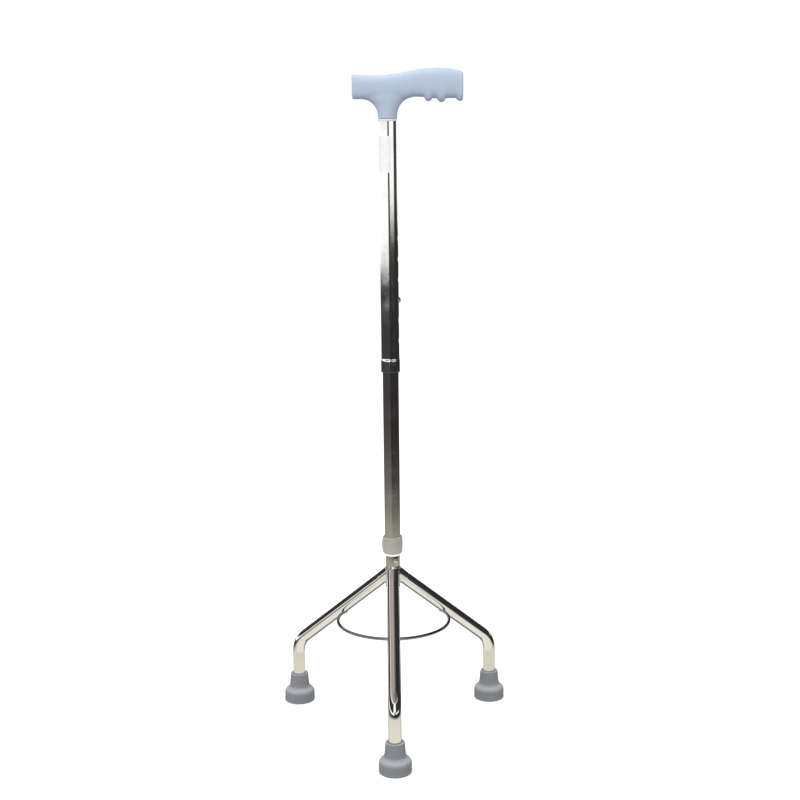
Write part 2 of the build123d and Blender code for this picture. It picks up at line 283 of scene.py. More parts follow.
def mixed(tree, factor, first, second):
    made = add(tree, "ShaderNodeMix", data_type="RGBA")
    made.inputs["A"].default_value = (*first, 1)
    made.inputs["B"].default_value = (*second, 1)
    tree.links.new(factor, made.inputs["Factor"])
    return made


def bumped(tree, shader, heights):
    # heights is a list of (value, strength, distance in metres), one bump on the next
    normal = None
    for value, strength, distance in heights:
        bump = add(tree, "ShaderNodeBump", Strength=strength, Distance=distance)
        tree.links.new(value, bump.inputs["Height"])
        if normal:
            tree.links.new(normal, bump.inputs["Normal"])
        normal = bump.outputs["Normal"]
    tree.links.new(normal, shader.inputs["Normal"])


def mottled(tree, shader, cloud, span, first, second):
    # base colour between two tints, where the cloudy noise passes through its span
    tint = mixed(tree, ranged(tree, cloud, *span, 0, 1), first, second)
    tree.links.new(tint.outputs["Result"], shader.inputs["Base Color"])


def roughened(tree, shader, cloud, span, roughLow, roughHigh):
    tree.links.new(ranged(tree, cloud, *span, roughLow, roughHigh), shader.inputs["Roughness"])


def shaded(colour, share):
    return [c * share for c in colour]


chromeGrain = {"smudge": 38, "cloud": 14, "drawn": 2600, "pits": 900, "waves": 60, "darker": 0.93}


def chromePlate(name, colour, roughLow, roughHigh, drawn=(1, 1, 1)):
    # polish with faint drawing lines, smudges and a few pits
    g = chromeGrain
    made, tree, shader = newMaterial(name, colour, roughLow, 1.0)
    where = place(tree)
    roughened(tree, shader, noise(tree, where, g["smudge"], 4), (0.42, 0.72), roughLow, roughHigh)
    mottled(tree, shader, noise(tree, where, g["cloud"], 2), (0.4, 0.7), colour, shaded(colour, g["darker"]))
    lines = noise(tree, place(tree, drawn), g["drawn"], 2)
    pits = ranged(tree, noise(tree, where, g["pits"], 1), 0.76, 0.80, 0, -1)
    waves = noise(tree, where, g["waves"], 2)
    bumped(tree, shader, [(lines, 0.035, 0.0002), (pits, 0.08, 0.0002), (waves, 0.05, 0.0004)])
    return made


gripGrain = {
    "colour": (0.47, 0.555, 0.69), "cloud": 55, "sheen": 90, "spark": 2300, "scratch": 700, "waves": 260,
}


def gripPlastic():
    # finely sparked moulding, with a few scratches along the bar
    g = gripGrain
    made, tree, shader = newMaterial("gripPlastic", g["colour"], 0.45, Coat_Weight=0.05, Coat_Roughness=0.3)
    where = place(tree)
    cloud = noise(tree, where, g["cloud"], 4)
    mottled(tree, shader, cloud, (0.3, 0.7), shaded(g["colour"], 0.975), shaded(g["colour"], 1.02))
    roughened(tree, shader, noise(tree, where, g["sheen"], 3), (0.35, 0.7), 0.38, 0.56)
    spark = noise(tree, where, g["spark"], 2)
    scratch = ranged(tree, noise(tree, place(tree, (0.12, 1, 1)), g["scratch"], 1), 0.70, 0.76, 0, -1)
    waves = noise(tree, where, g["waves"], 2)
    bumped(tree, shader, [(spark, 0.22, 0.00025), (scratch, 0.12, 0.0002), (waves, 0.08, 0.0004)])
    return made


footGrain = {
    "colour": (0.235, 0.243, 0.262), "dust": (0.40, 0.41, 0.44),
    "speckle": 420, "sheen": 120, "skin": 1500, "waves": 160,
}


def footRubber():
    # matt rubber, paler and dusty where it faces up
    g = footGrain
    made, tree, shader = newMaterial("footRubber", g["colour"], 0.72, Specular_IOR_Level=0.35)
    where = place(tree)
    facing = add(tree, "ShaderNodeNewGeometry")
    split = add(tree, "ShaderNodeSeparateXYZ")
    tree.links.new(facing.outputs["Normal"], split.inputs["Vector"])
    dust = add(tree, "ShaderNodeMath", operation="MULTIPLY")
    tree.links.new(ranged(tree, split.outputs["Z"], 0.15, 0.75, 0, 1), dust.inputs[0])
    tree.links.new(ranged(tree, noise(tree, where, g["speckle"], 4), 0.35, 0.65, 0.55, 1), dust.inputs[1])
    tint = mixed(tree, dust.outputs[0], g["colour"], g["dust"])
    tree.links.new(tint.outputs["Result"], shader.inputs["Base Color"])
    roughened(tree, shader, noise(tree, where, g["sheen"], 3), (0.3, 0.7), 0.6, 0.85)
    skin, waves = noise(tree, where, g["skin"], 3), noise(tree, where, g["waves"], 2)
    bumped(tree, shader, [(skin, 0.35, 0.0003), (waves, 0.15, 0.0006)])
    return made


collarGrain = {
    "colour": (0.46, 0.44, 0.385), "pale": (0.54, 0.52, 0.46),
    "cloud": 70, "sheen": 200, "skin": 900, "waves": 60,
}


def smokedPlastic():
    # smoky half-clear plastic under a soft gloss
    g = collarGrain
    clear = {"Transmission_Weight": 0.12, "IOR": 1.5, "Coat_Weight": 0.4, "Coat_Roughness": 0.1}
    made, tree, shader = newMaterial("smokedPlastic", g["colour"], 0.22, **clear)
    where = place(tree)
    mottled(tree, shader, noise(tree, where, g["cloud"], 3), (0.35, 0.7), g["colour"], g["pale"])
    roughened(tree, shader, noise(tree, where, g["sheen"], 3), (0.35, 0.7), 0.16, 0.34)
    skin, waves = noise(tree, where, g["skin"], 3), noise(tree, where, g["waves"], 2)
    bumped(tree, shader, [(skin, 0.08, 0.0002), (waves, 0.04, 0.0005)])
    return made


plasticGrain = {"cloud": 150, "sheen": 180, "darker": 0.9}


def plainPlastic(name, colour, roughness, skin=900, glow=None):
    # evenly coloured moulding; glow is painted light, an emission colour and strength that keep thin white
    # pieces bright where they lie in shade
    g = plasticGrain
    made, tree, shader = newMaterial(name, colour, roughness)
    where = place(tree)
    mottled(tree, shader, noise(tree, where, g["cloud"], 3), (0.35, 0.7), colour, shaded(colour, g["darker"]))
    roughened(tree, shader, noise(tree, where, g["sheen"], 3), (0.35, 0.7), roughness * 0.8, roughness * 1.3)
    bumped(tree, shader, [(noise(tree, where, skin, 2), 0.12, 0.0002)])
    # painted light: with glow the piece shines though it is no lamp
    if glow:
        shader.inputs["Emission Color"].default_value = (*glow[0], 1)
        shader.inputs["Emission Strength"].default_value = glow[1]
    return made


steelGrain = {"cloud": 300, "sheen": 220, "lines": 1800, "drawn": (1, 1, 0.05), "darker": 0.8}


def workedSteel(name, colour, roughness):
    # bare steel with drawing lines
    g = steelGrain
    made, tree, shader = newMaterial(name, colour, roughness, 1.0)
    where = place(tree)
    mottled(tree, shader, noise(tree, where, g["cloud"], 3), (0.35, 0.7), colour, shaded(colour, g["darker"]))
    roughened(tree, shader, noise(tree, where, g["sheen"], 3), (0.3, 0.7), roughness * 0.75, roughness * 1.35)
    bumped(tree, shader, [(noise(tree, place(tree, g["drawn"]), g["lines"], 2), 0.2, 0.0002)])
    return made


tubeChrome = chromePlate("tubeChrome", (0.80, 0.79, 0.77), 0.045, 0.12, drawn=(1, 1, 0.03))
legChrome = chromePlate("legChrome", (0.82, 0.81, 0.78), 0.05, 0.14)
weldChrome = chromePlate("weldChrome", (0.78, 0.77, 0.74), 0.12, 0.26)
domeChrome = chromePlate("domeChrome", (0.80, 0.79, 0.77), 0.06, 0.14)
buttonSteel = chromePlate("buttonSteel", (0.42, 0.42, 0.43), 0.10, 0.20)
wireChrome = chromePlate("wireChrome", (0.36, 0.355, 0.35), 0.08, 0.18)
# the seat ring's glow is painted light that keeps it bright where the collar shades it
ringWhite = plainPlastic("ringWhite", (0.97, 0.96, 0.93), 0.18, glow=((1, 0.98, 0.94), 0.3))
gripBlue = gripPlastic()
footGrey = footRubber()
collarSmoke = smokedPlastic()
ferruleWhite = plainPlastic("ferruleWhite", (0.88, 0.88, 0.88), 0.25)
nylonWhite = plainPlastic("nylonWhite", (0.74, 0.74, 0.71), 0.45)
plugBlack = plainPlastic("plugBlack", (0.02, 0.02, 0.022), 0.5)
bushGrey = plainPlastic("bushGrey", (0.045, 0.045, 0.048), 0.42)
labelWhite = plainPlastic("labelWhite", (0.97, 0.97, 0.97), 0.38, skin=1600)
steelPlain = workedSteel("steelPlain", (0.52, 0.52, 0.53), 0.35)
springBlue = workedSteel("springBlue", (0.30, 0.31, 0.33), 0.3)
print("materials made")


gripShape = {
    "stations": 260, "around": 96, "squareness": 3.0, "endRound": 2.2,
    "hollow": 4.2, "hollowStart": 27.0, "hollowSoftness": 2.2,
    "hollowRise": 1.2, "riseStart": 44.0, "riseLength": 12.0,
    "knobSquareness": 2.4, "knobFullness": 0.7,
    "neckRadius": 11.6, "neckWide": 12.9, "neckAround": 120, "neckRings": 46, "neckBottom": (0.35, 1.0),
    "neckShrink": 4.0, "leanSharpness": 3, "neckPower": 1.5, "nearlyLevel": 0.99,
    "flareBack": 20.0, "flareFront": 22.6,
    "underside": 23.5, "neckInside": 12.0,  # how far the neck runs up inside the bar
    "voxel": 0.5, "smoothing": 10,
    "junctionReach": 33.0, "junctionLow": 9.0, "junctionHigh": 46.0,
    "junctionFade": (5, 4, 8), "junctionRounds": 140,
}
# along the bar in mm: x, top, underside (above the ferrule) and half the width
gripCurve = np.array([
    (-42, 52.4, 23.5, 11.8), (-30, 51.4, 23.5, 12.6), (-16, 51.0, 23.5, 13.1), (-4, 51.2, 23.4, 13.4),
    (10, 52.8, 23.2, 13.6), (24, 55.3, 22.6, 13.8), (40, 57.9, 21.2, 13.9), (55, 59.0, 20.6, 13.9),
    (70, 58.4, 20.6, 13.6), (82, 56.6, 20.7, 12.9), (90, 54.9, 20.9, 12.3),
])
gripKnobs = ((48.6, 4.6, 4.3), (64.4, 5.0, 4.4), (87.5, 5.4, 3.6))  # x, half length and drop of each knob
gripBase = high("ferrule")[2] / mm
gripBack, gripFront = low("grip")[0] / mm, high("grip")[0] / mm


def eased(x, column):
    # a smooth curve through the table's rows: between two rows it is a start + b slope + (1 - a) end +
    # c slope, with a, b and c cubic in t and the slopes from the rows on each side
    knots, values = gripCurve[:, 0], gripCurve[:, column]
    slopes = np.gradient(values, knots)
    i = np.clip(np.searchsorted(knots, x) - 1, 0, len(knots) - 2)
    step = knots[i + 1] - knots[i]
    t = (x - knots[i]) / step
    start, end = values[i], values[i + 1]
    a = 2 * t**3 - 3 * t**2 + 1
    b = t**3 - 2 * t**2 + t
    c = t**3 - t**2
    return a * start + b * step * slopes[i] + (1 - a) * end + c * step * slopes[i + 1]


def gripBar():
    # closed rings of |y/a|^n + |z/b|^n = 1 along x; a, b and the ring's middle height follow the hand's shape
    g = gripShape
    even = np.linspace(0, 1, g["stations"])
    crowded = 0.5 - 0.5 * np.cos(pi * even)  # closer together at both ends
    x = gripBack + (gripFront - gripBack) * (0.6 * crowded + 0.4 * even)
    top, wide = eased(x, 1), eased(x, 3)
    # the fingers' long hollow starts at the neck and grows shallower past the first knob
    hollow = g["hollow"] / (1 + np.exp(-(x - g["hollowStart"]) / g["hollowSoftness"]))
    hollow = hollow - g["hollowRise"] * np.clip((x - g["riseStart"]) / g["riseLength"], 0, 1)
    under = eased(x, 2) + hollow
    for centre, reach, drop in gripKnobs:
        away = np.abs((x - centre) / reach) ** g["knobSquareness"]
        under = under - drop * np.clip(1 - away, 0, 1) ** g["knobFullness"]
    edge = np.minimum(x - gripBack, gripFront - x)  # each end closes in a small quarter round
    inset = g["endRound"] * (1 - np.sqrt(1 - np.clip(1 - edge / g["endRound"], 0, 1) ** 2))
    t = np.linspace(0, 2 * pi, g["around"], endpoint=False)
    power = 2 / g["squareness"]
    y = np.sign(np.cos(t)) * np.abs(np.cos(t)) ** power
    z = np.sign(np.sin(t)) * np.abs(np.sin(t)) ** power
    pts = np.stack([
        np.broadcast_to(x[:, None], (len(x), len(t))),
        shaft[1] / mm + (wide - inset)[:, None] * y,
        gripBase + (top + under)[:, None] / 2 + ((top - under) / 2 - inset)[:, None] * z,
    ], -1)
    return surface("gripBar", pts * mm, True, True)


def gripNeck():
    # rings at height h whose reach along x is neck + f (1 - sqrt(1 - ((h - start) / f)^2)), a quarter arc of
    # radius f, larger on the fingers' side, and whose reach along y only widens to the bar
    g = gripShape
    start = g["underside"] - g["flareBack"]
    flared = np.linspace(start, start + g["flareFront"] * g["nearlyLevel"], g["neckRings"])
    h = np.concatenate([g["neckBottom"], flared, [g["underside"] + g["neckInside"]]])
    t = np.linspace(0, 2 * pi, g["neckAround"], endpoint=False)
    lean = 0.5 + 0.5 * np.tanh(g["leanSharpness"] * np.cos(t))  # 0 at the thumb, 1 at the fingers
    reach = 0
    for flare, share in ((g["flareBack"], 1 - lean), (g["flareFront"], lean)):
        rise = np.clip((h - start) / flare, 0, g["nearlyLevel"])
        arc = g["neckRadius"] + flare * (1 - np.sqrt(1 - rise**2))
        arc[-1] = arc[-2] - g["neckShrink"]
        reach = reach + arc[:, None] * share
    widening = np.clip(h / g["underside"], 0, 1) ** g["neckPower"]
    wide = g["neckRadius"] + (g["neckWide"] - g["neckRadius"]) * widening
    pts = np.stack([
        shaft[0] / mm + reach * np.cos(t),
        shaft[1] / mm + wide[:, None] * np.sin(t),
        np.broadcast_to(gripBase + h[:, None], (len(h), len(t))),
    ], -1)
    return surface("gripNeck", pts * mm, True, True)


def blendJunction(piece):
    # extra smoothing where the neck meets the bar, with weight = product of straight ramps in x and in height
    g = gripShape
    co = np.zeros(len(piece.data.vertices) * 3)
    piece.data.vertices.foreach_get("co", co)
    x, _, z = co.reshape(-1, 3).T / mm
    x, z = x - shaft[0] / mm, z - gripBase
    fadeAlong, fadeLow, fadeHigh = g["junctionFade"]
    along = np.clip((g["junctionReach"] - np.abs(x)) / fadeAlong, 0, 1)
    up = np.clip((z - g["junctionLow"]) / fadeLow, 0, 1) * np.clip((g["junctionHigh"] - z) / fadeHigh, 0, 1)
    weights = np.round(along * up, 2)
    group = piece.vertex_groups.new(name="junction")
    for weight in np.unique(weights[weights > 0]):
        group.add(np.flatnonzero(weights == weight).tolist(), float(weight), "REPLACE")
    relaxed(piece, "junction", g["junctionRounds"]).vertex_group = "junction"
    applyModifiers(piece)


gripRaw = joined("gripMoulding", [gripBar(), gripNeck()])
gripPiece = melted(gripRaw, gripShape["voxel"] * mm, gripShape["smoothing"])
blendJunction(gripPiece)
finish(gripPiece, gripBlue, "upper", "grip_plastic", "grip")
print("grip made")


tubeShape = {"edge": 0.25, "wall": 1.2, "around": 128}  # edge is the rounding of a cut tube's rim, mm


def tubeProfile(outer, inner, bottom, top, edge):
    return rounded([(inner, bottom), (outer, bottom), (outer, top), (inner, top)], edge, 4)


def outerRadius(node):
    return (high(node)[0] - low(node)[0]) / 2 / mm


lowerRadius = outerRadius("lower_tube")
lowerProfile = tubeProfile(
    lowerRadius, lowerRadius - tubeShape["wall"],
    low("lower_tube")[2] / mm, high("lower_tube")[2] / mm, tubeShape["edge"],
)
lowerPiece = turned("lowerTubeSkin", lowerProfile, shaft, tubeShape["around"])
finish(lowerPiece, tubeChrome, "base", "chrome_tube", "lower_tube")

outerPiece = smoothCopy("outer_tube", "outerTubeSkin")
finish(outerPiece, tubeChrome, "upper", "chrome_tube", "outer_tube")

stemPiece = smoothCopy("stem", "stemSkin")
finish(stemPiece, legChrome, "base", "chrome_tube", "stem")
print("tubes made")


legShape = {
    "radius": 8.0, "slope": 39.5, "bend": 32.0, "apex": 204.0, "start": 7.5,
    "runSteps": 24, "bendSteps": 28, "endSteps": 12, "around": 64,
}
footReach = (shaft[1] - middle("foot_front")[1]) / mm
legFoot = low("leg_front")[2] / mm


def legPath(turn):
    # a straight run down the slope, an arc tangent to it, and an upright end, in the leg's own upright plane
    g = legShape
    slope = math.radians(g["slope"])
    turnAngle = pi / 2 - slope
    cornerHeight = g["apex"] - footReach * math.tan(slope)
    reach = g["bend"] * math.tan(turnAngle / 2)
    centre = np.array([footReach - g["bend"], cornerHeight - reach])
    a = np.linspace(turnAngle, 0, g["bendSteps"])
    arc = np.stack([centre[0] + g["bend"] * np.cos(a), centre[1] + g["bend"] * np.sin(a)], -1)
    start = np.array([g["start"], g["apex"] - g["start"] * math.tan(slope)])
    run = start + (arc[0] - start) * np.linspace(0, 1, g["runSteps"])[:-1, None]
    foot = np.array([footReach, legFoot])
    end = arc[-1] + (foot - arc[-1]) * np.linspace(0, 1, g["endSteps"])[1:, None]
    flat = np.concatenate([run, arc, end])
    return np.stack([
        shaft[0] / mm + flat[:, 0] * math.cos(turn),
        shaft[1] / mm + flat[:, 0] * math.sin(turn),
        flat[:, 1],
    ], -1)


for where, turn in legTurns.items():
    leg = swept("legSkin_" + where, legPath(turn) * mm, legShape["radius"] * mm, legShape["around"])
    finish(leg, legChrome, "base", "chrome_tube", "leg_" + where)


hubShape = {
    "stub": 17.5, "proud": 0.55, "thinning": 0.5, "stubSteps": 14,
    "stemProud": 0.45, "top": 210.0, "stemSteps": 12, "stemAround": 64, "bottomLift": 0.3,
    "voxel": 0.75, "smoothing": 14,
}


def hubWeldShape():
    # stubs of the three legs and the stem, fused so that weld fillets grow between them; a stub's radius is
    # leg + proud - thinning (r / stub)^2
    g = hubShape
    slope = math.radians(legShape["slope"])
    stubs = []
    for turn in legTurns.values():
        r = np.linspace(0, g["stub"], g["stubSteps"])
        grow = legShape["radius"] + g["proud"] - g["thinning"] * (r / g["stub"]) ** 2
        path = np.stack([
            shaft[0] / mm + r * math.cos(turn),
            shaft[1] / mm + r * math.sin(turn),
            legShape["apex"] - r * math.tan(slope),
        ], -1)
        stubs.append(swept("stub", path * mm, grow * mm))
    h = np.linspace(low("stem")[2] / mm + g["bottomLift"], g["top"], g["stemSteps"])
    core = np.stack([np.full(len(h), shaft[0] / mm), np.full(len(h), shaft[1] / mm), h], -1)
    stubs.append(swept("stub", core * mm, (outerRadius("stem") + g["stemProud"]) * mm, g["stemAround"]))
    return melted(joined("hubWeld", stubs), g["voxel"] * mm, g["smoothing"])


finish(hubWeldShape(), weldChrome, "base", "chrome_tube")
print("legs made")


braceShape = {
    "wire": 2.0, "radius": 71.0, "setback": 4.0, "steps": 150, "around": 32,
    "end": 25.5,  # degrees about the arc's centre, where each end meets its leg
    "beadTurns": (270, 27, 153), "beadDrops": ((0, 0.6, 1.8), (0, 0, 0), (0, 0, 0)),
    "beadSizes": ((4.6, 3.4, 3.0), (3.8, 4.6, 3.0), (3.8, 4.6, 3.0)), "beadRipple": 0.05, "beadBand": 0.03,
}
braceHeight = middle("brace_wire")[2] / mm


def bracePath(startDeg, endDeg, steps):
    # part of a level circle behind the shaft's axis: centre + radius (cos a, sin a)
    a = np.radians(np.linspace(startDeg, endDeg, steps))
    return np.stack([
        shaft[0] / mm + braceShape["radius"] * np.cos(a),
        shaft[1] / mm + braceShape["setback"] + braceShape["radius"] * np.sin(a),
        np.full(steps, braceHeight),
    ], -1)


wirePath = bracePath(180 - braceShape["end"], 360 + braceShape["end"], braceShape["steps"])
wirePiece = swept("braceWireSkin", wirePath * mm, braceShape["wire"] * mm, braceShape["around"])
finish(wirePiece, wireChrome, "base", "chrome_tube", "brace_wire")


def weldBead(name, centre, size, seed):
    # a ball of half lengths size, rippled by r = 1 + ripple sin(5 u + p) cos(3 t + q) + band sin(9 u)
    rng = np.random.default_rng(seed)
    pole = 0.02
    u = np.linspace(pole, pi - pole, 30)[:, None]
    t = np.linspace(0, 2 * pi, 40, endpoint=False)[None]
    ripple = np.sin(5 * u + rng.uniform(0, 6)) * np.cos(3 * t + rng.uniform(0, 6))
    wave = 1 + braceShape["beadRipple"] * ripple + braceShape["beadBand"] * np.sin(9 * u)
    ball = np.stack([np.sin(u) * np.cos(t) * wave, np.sin(u) * np.sin(t) * wave, np.cos(u) * wave], -1)
    return surface(name, (np.array(centre) + ball * np.array(size)) * mm, True, True)


beads = zip(braceShape["beadTurns"], braceShape["beadDrops"], braceShape["beadSizes"])
for number, (turnDeg, drop, size) in enumerate(beads):
    bead = weldBead(f"braceBead{number}", bracePath(turnDeg, turnDeg, 1)[0] + drop, size, number)
    finish(bead, weldChrome, "base", "chrome_tube")
print("brace made")


footShape = {
    "rim": 19.7, "rimHeight": 10.7, "shoulder": 20.0, "sleeveLow": 13.1, "sleeveHigh": 11.5, "height": 38.0,
    "flangeRound": (3.6, 6.0), "flangeTurn": 0.86, "shoulderEnd": 22.4, "sleeveStart": 23.6,
    "heelRound": 1.5, "lipRound": 0.8, "bore": 8.0, "boreGap": 0.02, "boreFloor": 7.5,
    "treads": (7.5, 12.5), "treadDepth": 1.4, "treadWide": 1.1, "treadFloor": 0.9,
    "lineHeights": (4.4, 4.7, 5.1, 5.4), "lineDepth": 0.25,  # the mould line round the flange
    "around": 128, "sharpAngle": 50,
}


def ellipseArc(centre, reach, start, end, steps):
    # (centre + reach cos a, centre + reach sin a), reach along the radius and up
    a = np.linspace(start, end, steps)
    return np.stack([centre[0] + reach[0] * np.cos(a), centre[1] + reach[1] * np.sin(a)], -1)


def footOutline():
    # from the sole's middle out to the rim, over a thick round-edged flange and a short hollow shoulder, up
    # the sleeve to its lip and down the bore; the shoulder is r = sleeve + (flange - sleeve) (1 - s)^2, and
    # its height rises as s^1.1
    g = footShape
    rim, top, lip = g["rim"], g["height"], g["lipRound"]
    sole = [(0.0, 0.0)]
    for centre in g["treads"]:
        wide, floor = g["treadWide"], g["treadFloor"]
        sole += [(centre - wide, 0), (centre - floor, g["treadDepth"])]
        sole += [(centre + floor, g["treadDepth"]), (centre + wide, 0)]
    heel = ellipseArc((rim - g["heelRound"], g["heelRound"]), (g["heelRound"],) * 2, -pi / 2, 0, 8)
    line = [(rim - depth, h) for h, depth in zip(g["lineHeights"], (0, g["lineDepth"], g["lineDepth"], 0))]
    flangeEnd = pi / 2 * g["flangeTurn"]
    flange = ellipseArc((rim - g["flangeRound"][0], g["rimHeight"]), g["flangeRound"], 0, flangeEnd, 14)
    s = np.linspace(0, 1, 30)[1:]
    start = flange[-1]
    shoulder = np.stack([
        g["sleeveLow"] + (start[0] - g["sleeveLow"]) * (1 - s) ** 2,
        start[1] + (g["shoulderEnd"] - start[1]) * s**1.1,
    ], -1)
    h = np.linspace(g["sleeveStart"], top - 1.5 * lip, 8)
    taper = (h - g["shoulder"]) / (top - g["shoulder"])
    sleeve = np.stack([g["sleeveLow"] + (g["sleeveHigh"] - g["sleeveLow"]) * taper, h], -1)
    outerLip = ellipseArc((g["sleeveHigh"] - lip, top - lip), (lip, lip), 0, pi / 2, 6)
    innerLip = ellipseArc((g["bore"] + lip, top - lip), (lip, lip), pi / 2, pi, 6)
    inside = g["bore"] + g["boreGap"]
    bore = [(inside, top - 2 * lip), (inside, g["boreFloor"]), (0.0, g["boreFloor"])]
    return np.concatenate([sole, heel, line, flange, shoulder, sleeve, outerLip, innerLip, bore])


for where in legTurns:
    centre = middle("foot_" + where)[:2]
    foot = turned("footSkin_" + where, footOutline(), centre, footShape["around"])
    foot.data.set_sharp_from_angle(angle=math.radians(footShape["sharpAngle"]))
    finish(foot, footGrey, "base", "foot_rubber", "foot_" + where)
print("feet made")


collarShape = {
    "ends": 12.15, "middle": 12.6, "rim": 0.8, "bore": 9.88,
    "boreEdge": (0.3, 0.4),  # the bore's bevel, out and up
    "lug": 0.8, "lugWidth": 0.5, "lugMiddle": 0.52, "lugHalf": 0.33, "lugSharpness": 45,
    "rings": 72, "around": 200, "sharpAngle": 60,
}


def collarSurface():
    # a barrel r = ends + (middle - ends) sin(pi s) over its height s, with quarter round rims, and a soft lug
    # exp(-(angle / width)^4) on its -X side
    g = collarShape
    bottom, top = low("lock_collar")[2] / mm, high("lock_collar")[2] / mm
    s = 0.5 - 0.5 * np.cos(np.linspace(0, pi, g["rings"]))
    t = np.linspace(0, 2 * pi, g["around"], endpoint=False)
    wall = g["ends"] + (g["middle"] - g["ends"]) * np.sin(pi * s)
    edge = np.minimum(s, 1 - s) * (top - bottom) / g["rim"]
    rim = g["rim"] * (1 - np.sqrt(1 - np.clip(1 - edge, 0, 1) ** 2))
    away = np.abs(np.angle(np.exp(1j * (t - pi))))  # angle from -X
    lug = np.exp(-((away / g["lugWidth"]) ** 4))
    tall = 1 / (1 + np.exp(-(g["lugHalf"] - np.abs(s - g["lugMiddle"])) * g["lugSharpness"]))
    r = (wall - rim)[:, None] + g["lug"] * tall[:, None] * lug
    outside = np.stack([
        shaft[0] / mm + r * np.cos(t), shaft[1] / mm + r * np.sin(t),
        np.broadcast_to(bottom + (top - bottom) * s[:, None], r.shape),
    ], -1)
    out, up = g["boreEdge"]
    q = g["bore"] + np.array([out, 0, 0, out])[:, None]
    depth = np.array([top, top - up, bottom + up, bottom])[:, None]
    inside = np.stack([
        shaft[0] / mm + q * np.cos(t), shaft[1] / mm + q * np.sin(t),
        np.broadcast_to(depth, (len(q), len(t))),
    ], -1)
    pts = np.concatenate([outside, inside, outside[:1]]) * mm
    piece = surface("collarBarrel", pts)
    weld(piece)
    piece.data.set_sharp_from_angle(angle=math.radians(g["sharpAngle"]))
    return piece


finish(collarSurface(), collarSmoke, "lock_collar", "collar_plastic", "lock_collar")


ringShape = {"seatBore": 8.5, "seatEdge": 0.7, "ferruleBore": 8.0, "ferruleEdge": 0.6}


def ringPiece(name, node, inner, edge):
    # a rounded oblong section turned about the shaft, as wide and high as its CAD node
    profile = tubeProfile(outerRadius(node), inner, low(node)[2] / mm, high(node)[2] / mm, edge)
    return turned(name, profile, shaft)


seatRing = ringPiece("seatRingSkin", "seat_ring", ringShape["seatBore"], ringShape["seatEdge"])
finish(seatRing, ringWhite, "base", "bright_ring", "seat_ring")
ferrule = ringPiece("ferruleSkin", "ferrule", ringShape["ferruleBore"], ringShape["ferruleEdge"])
finish(ferrule, ferruleWhite, "upper", "ferrule_plastic", "ferrule")

# radius of the post, its start and tip from the shaft's axis, the cap's rounding and the direction
buttonShape = {"radius": 3.3, "base": 6.2, "roundness": 2.3, "turnDeg": 0}
rivetShape = {"radius": 2.6, "base": 8.2, "tip": 10.24, "roundness": 1.3, "turnDeg": -65}
capProud = 0.06  # how far the cap's middle stands past its last ring


def dome(name, g, tip, height):
    # a round post along an axis away from the shaft, whose end is a quarter round of radius n:
    # out = tip - n + n sin a, r = radius - n + n cos a
    n, azimuth = g["roundness"], math.radians(g["turnDeg"])
    a = np.linspace(0, 1, 26) * pi / 2
    post = [g["base"], g["base"] + (tip - g["base"]) * 0.3]
    out = np.concatenate([post, tip - n + n * np.sin(a), [tip + capProud]])
    r = np.concatenate([[g["radius"], g["radius"]], g["radius"] - n + n * np.cos(a), [0.02]])
    t = np.linspace(0, 2 * pi, 48, endpoint=False)
    across = np.array([-math.sin(azimuth), math.cos(azimuth), 0])
    along = np.array([math.cos(azimuth), math.sin(azimuth), 0])
    pts = (
        np.array([shaft[0] / mm, shaft[1] / mm, height])
        + out[:, None, None] * along
        + r[:, None, None] * (across * np.cos(t)[:, None] + np.array([0, 0, 1]) * np.sin(t)[:, None])
    )
    return surface(name, pts * mm, True, True)


buttonTip = (high("snap_button")[0] - shaft[0]) / mm - capProud
buttonPiece = dome("buttonDome", buttonShape, buttonTip, middle("snap_button")[2] / mm)
finish(buttonPiece, buttonSteel, "snap_button", "button_chrome", "snap_button")
rivetPiece = dome("rivetDome", rivetShape, rivetShape["tip"], middle("stem_rivet")[2] / mm)
finish(rivetPiece, domeChrome, "base", "button_chrome", "stem_rivet")

labelShape = {
    "turnFrom": -185.0, "turnTo": -70.0, "height": 43.0, "drop": 17.5, "corner": 2.2,
    "tube": 11.1, "lift": 0.01, "thick": 0.16, "sharpAngle": 40,
}


def labelSurface():
    # a thin shell (r cos turn, r sin turn, z) on the tube, its corners rounded by pulling the end columns in
    g = labelShape
    top = high("outer_tube")[2] / mm - g["drop"]
    u = np.linspace(0, 1, 70)
    v = np.linspace(0, 1, 50)
    turn = np.radians(g["turnFrom"] + (g["turnTo"] - g["turnFrom"]) * u)
    edge = np.minimum(u, 1 - u) * math.radians(g["turnTo"] - g["turnFrom"]) * g["tube"]
    pull = g["corner"] * (1 - np.sqrt(1 - np.clip(1 - edge / g["corner"], 0, 1) ** 2))
    z = top - pull[:, None] - (g["height"] - 2 * pull[:, None]) * v
    shells = []
    for r in (g["tube"] + g["lift"], g["tube"] + g["thick"]):
        shells.append(np.stack([
            np.broadcast_to(shaft[0] / mm + r * np.cos(turn)[:, None], z.shape),
            np.broadcast_to(shaft[1] / mm + r * np.sin(turn)[:, None], z.shape), z,
        ], -1))
    rings = np.concatenate([shells[1], shells[0][:, ::-1]], axis=1)
    piece = surface("blankLabel", rings * mm, True, True)
    weld(piece)
    piece.data.set_sharp_from_angle(angle=math.radians(g["sharpAngle"]))
    return piece


finish(labelSurface(), labelWhite, "upper", "ferrule_plastic")
print("collar, rings, buttons and label made")


keptFinish = {  # CAD nodes that keep their own shape
    "foot_washers": steelPlain, "stem_core_rod": steelPlain, "grip_screw": steelPlain,
    "button_spring": springBlue, "collar_bush": nylonWhite, "lower_tube_guide": nylonWhite,
    "grip_insert": nylonWhite,
}
for node, material in keptFinish.items():
    nodes[node].data.materials.clear()
    nodes[node].data.materials.append(material)

